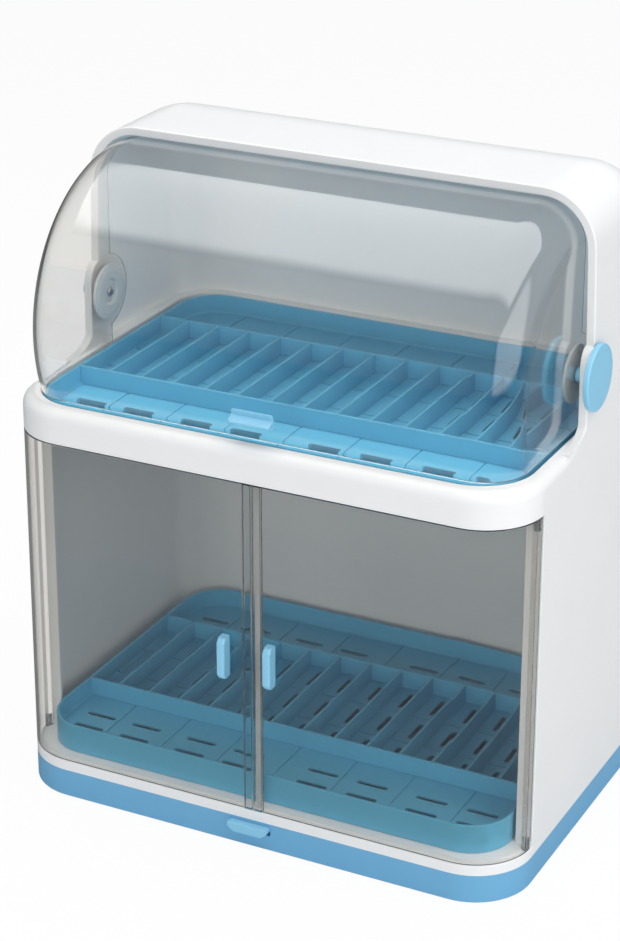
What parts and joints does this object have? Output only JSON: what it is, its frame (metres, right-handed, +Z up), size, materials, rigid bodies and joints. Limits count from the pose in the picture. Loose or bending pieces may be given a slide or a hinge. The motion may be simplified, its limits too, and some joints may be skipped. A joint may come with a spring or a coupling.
{
  "type": "plate rack",
  "caption": "Countertop dish cabinet: slotted plate trays on two tiers, clear wrap-round doors below, clear roll-top lid in a white hood above, drip base with pull-out drain.",
  "frame": {"origin": "on the ground under the middle of the whole part's footprint", "axes": "+Z up, +X to the right seen from the front, the doors and the lid face -Y"},
  "size_m": [0.4606, 0.326, 0.545],
  "materials": {
    "white_body": "satin-gloss moulded",
    "base_blue": "satin-gloss moulded",
    "tray_blue": "satin moulded",
    "grip_blue": "gloss moulded",
    "clear_lid": "clear polished",
    "clear_door": "clear, faintly smoked",
    "bush_grey": "satin",
    "steel": "bright"
  },
  "bodies": {
    "cabinet": {"base_tray": "base_blue", "cabinet_floor": "white_body", "lower_side_left": "white_body", "lower_side_right": "white_body", "lower_back_panel": "white_body", "middle_shelf": "white_body", "hood": "white_body", "upper_rack_tray": "tray_blue", "upper_tray_wall": "tray_blue", "upper_plate_comb": "tray_blue", "door_pin_left_bottom": "steel", "door_pin_left_top": "steel", "door_pin_right_bottom": "steel", "door_pin_right_top": "steel"},
    "lid": {"lid": "clear_lid", "lid_handle": "grip_blue", "pivot_axle_left": "grip_blue", "pivot_bush_left": "bush_grey", "pivot_screw_left": "steel", "pivot_knob_right": "grip_blue", "pivot_bush_right": "bush_grey", "pivot_screw_right": "steel"},
    "left_door": {"door_left": "clear_door", "door_handle_left": "grip_blue"},
    "right_door": {"door_right": "clear_door", "door_handle_right": "grip_blue"},
    "drain": {"drain_spout": "grip_blue"},
    "lower_tray": {"lower_rack_tray": "tray_blue", "lower_tray_wall": "tray_blue", "lower_plate_comb": "tray_blue"}
  },
  "joints": [
    {"name": "lid_hinge", "type": "hinge", "parent": "cabinet", "child": "lid", "pos_m": [0, -0.007, 0.3991], "axis": [-1, 0, 0], "range_deg": [0, 95]},
    {"name": "left_door_hinge", "type": "hinge", "parent": "cabinet", "child": "left_door", "pos_m": [-0.221, -0.106, 0.178], "axis": [0, 0, -1], "range_deg": [0, 100]},
    {"name": "right_door_hinge", "type": "hinge", "parent": "cabinet", "child": "right_door", "pos_m": [0.221, -0.106, 0.178], "axis": [0, 0, 1], "range_deg": [0, 100]},
    {"name": "drain_slide", "type": "slide", "parent": "cabinet", "child": "drain", "axis": [0, -1, 0], "range_m": [0, 0.03]},
    {"name": "lower_tray_lift", "type": "slide", "parent": "cabinet", "child": "lower_tray", "axis": [0, 0, 1], "range_m": [0, 0.06]}
  ]
}
